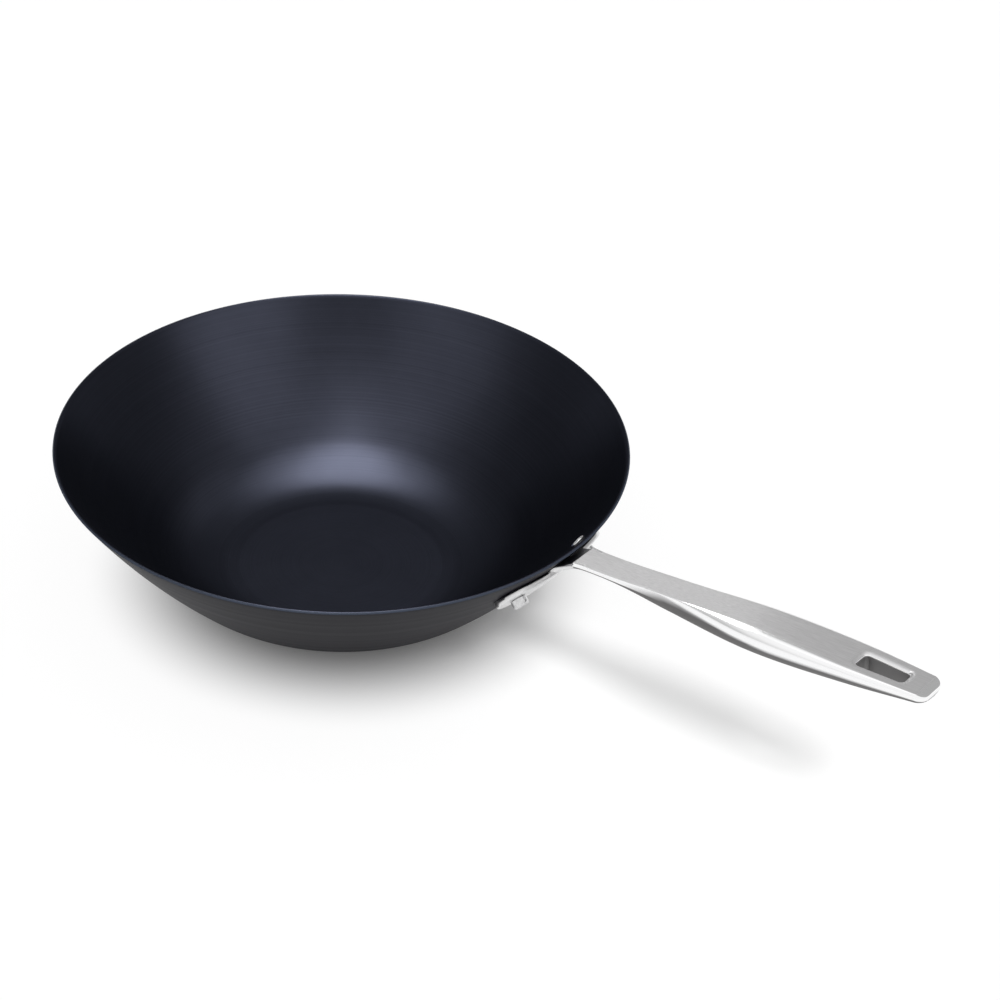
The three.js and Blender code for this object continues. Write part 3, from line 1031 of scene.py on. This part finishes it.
def softenEdge(nodes, links, shader, radius):  # lets more light through towards the edge
    distance = axisDistance(nodes, links)[1]
    share = addNode(nodes, "ShaderNodeMapRange", {
        "From Min": footShade["solid"] * radius, "From Max": radius,
    }, interpolation_type="SMOOTHSTEP")
    clear = addNode(nodes, "ShaderNodeBsdfTransparent")
    both = addNode(nodes, "ShaderNodeMixShader")
    links.new(distance, share.inputs["Value"])
    links.new(share.outputs["Result"], both.inputs[0])
    links.new(shader.outputs[0], both.inputs[1])
    links.new(clear.outputs[0], both.inputs[2])
    links.new(both.outputs[0], nodes["Material Output"].inputs["Surface"])


def addFootShade():  # a round soft shadow under the bowl, met by shadow rays alone
    deselectAll()
    radius = footShade["radius"] * mm
    bpy.ops.mesh.primitive_circle_add(
        vertices=footShade["segments"], radius=radius, fill_type="NGON"
    )
    disc = nameNewest("footShade")
    disc.location = Vector(footShade["middle"]) * mm
    material, nodes, links, shader = newMaterial("footShade")
    shader.inputs["Base Color"].default_value = (*footShade["tone"], 1)
    shader.inputs["Roughness"].default_value = studio["matte"]
    softenEdge(nodes, links, shader, radius)
    disc.data.materials.append(material)
    disc.visible_camera = disc.visible_diffuse = False
    disc.visible_glossy = disc.visible_transmission = False


def makeWorld():
    world = bpy.data.worlds.new("studioWorld")
    bpy.context.scene.world = world
    world.use_nodes = True
    nodes, links = world.node_tree.nodes, world.node_tree.links
    nodes.clear()
    where = addNode(nodes, "ShaderNodeTexCoord")
    axes = addNode(nodes, "ShaderNodeSeparateXYZ")
    aim = {1: studio["tentAim"]}
    toTent = addNode(nodes, "ShaderNodeVectorMath", aim, operation="DOT_PRODUCT")
    near, far = (math.cos(math.radians(angle)) for angle in studio["tentReach"])
    low, high = (math.sin(math.radians(angle)) for angle in studio["band"])
    tent = addNode(nodes, "ShaderNodeMapRange", {
        "From Min": far, "From Max": near, "To Min": studio["back"], "To Max": studio["tent"],
    }, interpolation_type="SMOOTHSTEP")
    band = addNode(nodes, "ShaderNodeMapRange", {
        "From Min": low, "From Max": high, "To Min": 1.0, "To Max": 0.0,
    })
    mirrored = addNode(nodes, "ShaderNodeMath", operation="MAXIMUM")
    inSteel = addNode(nodes, "ShaderNodeMix", {mixLow: studio["dome"]}, data_type="FLOAT")
    direct = addNode(nodes, "ShaderNodeMix", {mixHigh: 1.0}, data_type="FLOAT")
    shade = addNode(nodes, "ShaderNodeBackground", {"Color": (1, 1, 1, 1)})
    out = addNode(nodes, "ShaderNodeOutputWorld")
    cameraRay, glossyRay = seenDirectly(nodes, links)[:2]
    links.new(where.outputs["Generated"], toTent.inputs[0])
    links.new(where.outputs["Generated"], axes.inputs[0])
    links.new(toTent.outputs["Value"], tent.inputs["Value"])
    links.new(axes.outputs["Z"], band.inputs["Value"])
    links.new(tent.outputs["Result"], mirrored.inputs[0])
    links.new(band.outputs["Result"], mirrored.inputs[1])
    links.new(glossyRay, inSteel.inputs[mixShare])
    links.new(mirrored.outputs[0], inSteel.inputs[mixHigh])
    links.new(cameraRay, direct.inputs[mixShare])
    links.new(inSteel.outputs[0], direct.inputs[mixLow])
    links.new(direct.outputs[0], shade.inputs["Strength"])
    links.new(shade.outputs[0], out.inputs["Surface"])


def aimLamp(lamp, direction):
    lamp.rotation_mode = "QUATERNION"
    lamp.rotation_quaternion = Vector(direction).normalized().to_track_quat("Z", "Y")


steelPieces = ("wokHandle", "leftRivet", "rightRivet")

lamps = [
    # name, direction from the wok, strength, angle, what throws its shadow
    ("frontLamp", (0.207, -0.455, 0.866), 2.03, 30, ("footShade",)),
    ("sideLamp", (0.622, -0.198, 0.757), 1.33, 13, (*steelPieces, "footShade")),
]


def groupOf(name, members):
    group = bpy.data.collections.new(name)
    for member in members:
        group.objects.link(bpy.data.objects[member])
    return group


def addLamps():
    for name, direction, strength, angle, blockers in lamps:
        data = bpy.data.lights.new(name, "SUN")
        data.energy = strength
        data.angle = math.radians(angle)
        lamp = bpy.data.objects.new(name, data)
        bpy.context.collection.objects.link(lamp)
        aimLamp(lamp, direction)
        lamp.visible_glossy = False
        lamp.light_linking.blocker_collection = groupOf(name + "Shadow", blockers)


softboxes = [
    # name, direction from the wok, width, depth, radiance, pieces that mirror it,
    # and whether it lies level and square to the photo's view
    ("topBox", (-0.01, -0.04, 1.0), 2800, 6400, 13.6, ("wokBowl",), True),
    ("topWash", (0.0, -0.03, 1.0), 6800, 7200, 3.8, ("wokBowl",), True),
    ("rightBox", (0.90, -0.05, 0.62), 5000, 3800, 3.0, ("wokBowl",), False),
    ("leftBox", (-0.10, -0.82, 0.62), 4800, 3600, 1.8, ("wokBowl",), False),
    ("handleBox", (-0.243, -0.04, 0.97), 4850, 4850, 0.2, steelPieces, True),
    ("strapBox", (-0.61, 0.05, 0.79), 4900, 1180, 3.5, steelPieces, False),
    ("farBox", (0.25, 0.68, 0.69), 4370, 2330, 0.9, ("wokBowl",), False),
]


def addSoftboxes():  # seen in the steel only, the floor is lit by the lamps and the dome
    level = Matrix.Rotation(math.radians(photoView["turn"]), 3, "Z").to_quaternion()
    for name, direction, width, depth, radiance, mirrors, square in softboxes:
        data = bpy.data.lights.new(name, "AREA")
        data.shape = "ELLIPSE"
        data.size = width * mm
        data.size_y = depth * mm
        area = math.pi / 4 * width * depth * mm**2
        data.energy = radiance * math.pi * area
        lamp = bpy.data.objects.new(name, data)
        bpy.context.collection.objects.link(lamp)
        lamp.location = Vector(direction).normalized() * studio["boxDistance"] * mm
        aimLamp(lamp, direction)
        if square:
            lamp.rotation_quaternion = level
        lamp.visible_diffuse = False
        lamp.light_linking.receiver_collection = groupOf(name + "Mirrors", mirrors)


makeFloor()
addFootShade()
makeWorld()
addLamps()
addSoftboxes()
bpy.context.scene.view_settings.view_transform = "Standard"
print("studio ready")
